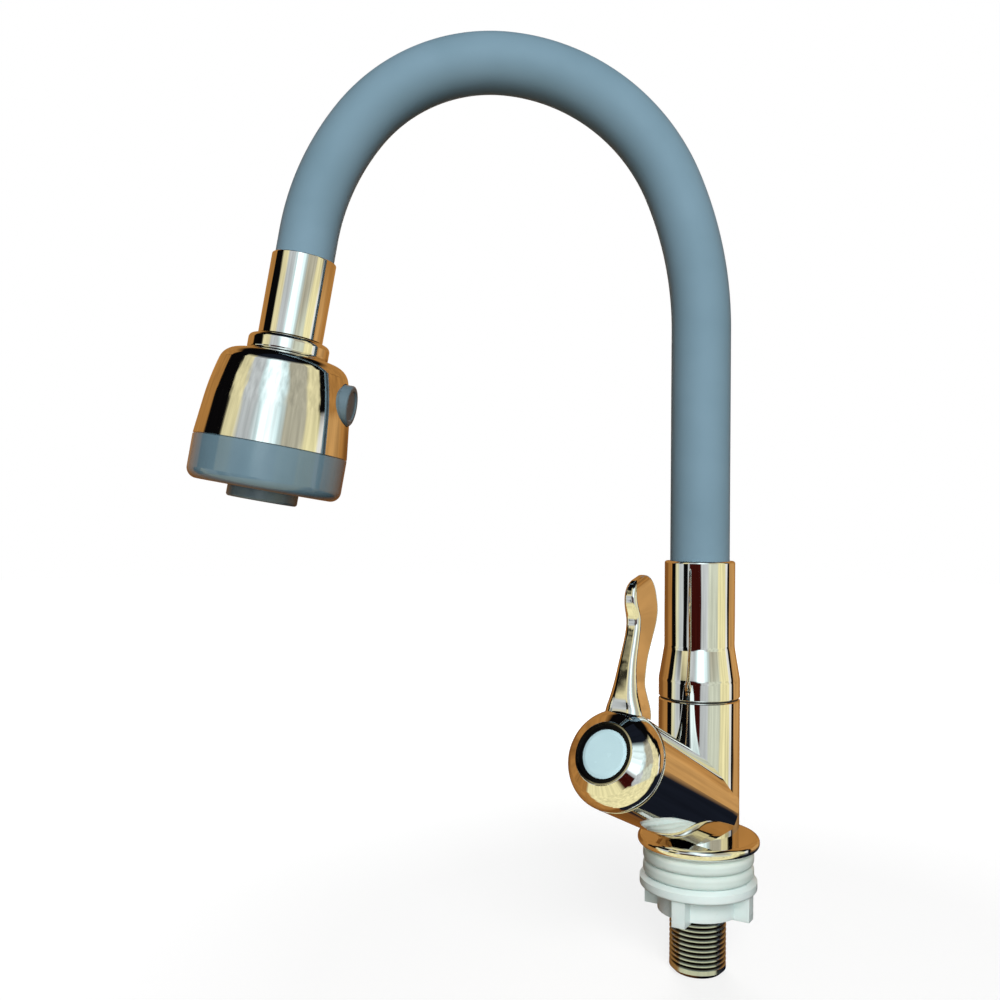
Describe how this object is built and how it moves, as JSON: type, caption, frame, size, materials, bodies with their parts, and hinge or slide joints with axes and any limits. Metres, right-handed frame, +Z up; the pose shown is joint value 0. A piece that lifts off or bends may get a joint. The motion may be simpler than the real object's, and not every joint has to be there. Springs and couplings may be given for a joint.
{
  "type": "flexible spout faucet",
  "caption": "Deck faucet with a bendable sleeved gooseneck spout, a swivelling spray head with a push button, an angled side lever and a threaded tail with a wing nut.",
  "frame": {"origin": "on the column's axis, at the underside of the base flange, where the faucet sits on its deck", "axes": "+Z up along the column, the spout reaches towards -X, the lever's branch stands towards -X and -Y"},
  "size_m": [0.2143, 0.0906, 0.3507],
  "materials": {
    "chrome_body": "bright chrome plate on brass",
    "chrome_handle": "bright chrome plate on cast metal",
    "chrome_spout": "bright chrome plate",
    "chrome_shell": "bright chrome plate on moulded plastic",
    "tail_metal": "bright nickel plate on brass",
    "inner_brass": "turned",
    "inner_steel": "bright",
    "seal_rubber": "smooth",
    "washer_white": "milky, slightly translucent",
    "nut_white": "milky, slightly translucent",
    "index_white": "smooth gloss",
    "swivel_plastic": "smooth",
    "hose_silicone": "matte silicone skin",
    "head_grey": "satin",
    "core_plastic": "moulded",
    "disc_ceramic": "lapped"
  },
  "bodies": {
    "base": {"valve_body": "chrome_body", "inlet_shank": "tail_metal", "base_flange": "chrome_body", "upper_washer": "washer_white", "cartridge_body": "core_plastic", "cartridge_seal": "seal_rubber", "fixed_disc": "disc_ceramic"},
    "clamp": {"lower_washer": "washer_white"},
    "nut": {"mounting_nut": "nut_white"},
    "handle": {"handle": "chrome_handle", "handle_screw": "inner_steel", "index_cap": "index_white", "cap_ring": "seal_rubber", "spindle": "inner_brass", "moving_disc": "disc_ceramic", "spindle_oring": "seal_rubber", "spindle_clip": "inner_steel"},
    "spout": {"swivel_sleeve": "chrome_body", "swivel_stem": "inner_brass", "lower_stem_oring": "seal_rubber", "upper_stem_oring": "seal_rubber", "snap_ring": "inner_steel", "swivel_washer": "seal_rubber", "base_collar": "inner_brass", "hose_sleeve": "hose_silicone", "gooseneck_tube": "inner_steel", "water_tube": "swivel_plastic"},
    "head_arm": {"head_ferrule": "chrome_spout", "head_collar": "inner_brass", "head_connector": "inner_brass", "spigot_oring": "seal_rubber", "spigot_clip": "inner_steel"},
    "head": {"head_shell": "chrome_shell", "neck_collar": "chrome_spout", "head_core": "core_plastic", "face_ring": "head_grey", "spray_plate": "head_grey", "plate_gasket": "seal_rubber", "aerator_housing": "head_grey", "aerator_washer": "seal_rubber", "aerator_insert": "core_plastic", "aerator_mesh": "inner_steel", "button_spring": "inner_steel"},
    "button": {"mode_button": "head_grey", "diverter": "inner_brass", "diverter_oring": "seal_rubber"}
  },
  "joints": [
    {"name": "spout_swivel", "type": "hinge", "parent": "base", "child": "spout", "pos_m": [0, 0, 0], "axis": [0, 0, 1], "continuous": true},
    {"name": "spout_flex", "type": "hinge", "parent": "spout", "child": "head_arm", "pos_m": [-0.075, 0, 0.288], "axis": [0, 1, 0], "range_deg": [-20, 30], "deforming": ["hose_sleeve", "gooseneck_tube", "water_tube"]},
    {"name": "head_swivel", "type": "hinge", "parent": "head_arm", "child": "head", "pos_m": [-0.1493, 0, 0.21848], "axis": [-0.1702, 0, -0.9854], "continuous": true},
    {"name": "mode_press", "type": "slide", "parent": "head", "child": "button", "axis": [-0.98, 0.1045, 0.1693], "range_m": [0, 0.0018], "stiffness_N_per_m": 900, "springref_m": -0.0012, "deforming": ["button_spring"]},
    {"name": "handle_turn", "type": "hinge", "parent": "base", "child": "handle", "pos_m": [0, 0, 0.014], "axis": [-0.5517, -0.719, 0.4226], "range_deg": [0, 90]},
    {"name": "nut_travel", "type": "slide", "parent": "base", "child": "clamp", "axis": [0, 0, -1], "range_m": [0, 0.01451]},
    {"name": "nut_spin", "type": "hinge", "parent": "clamp", "child": "nut", "pos_m": [0, 0, 0], "axis": [0, 0, -1], "range_deg": [0, 2880]}
  ],
  "couplings": [
    {"joint": "nut_spin", "follows": "nut_travel", "rad_per_m": 3463.1}
  ]
}
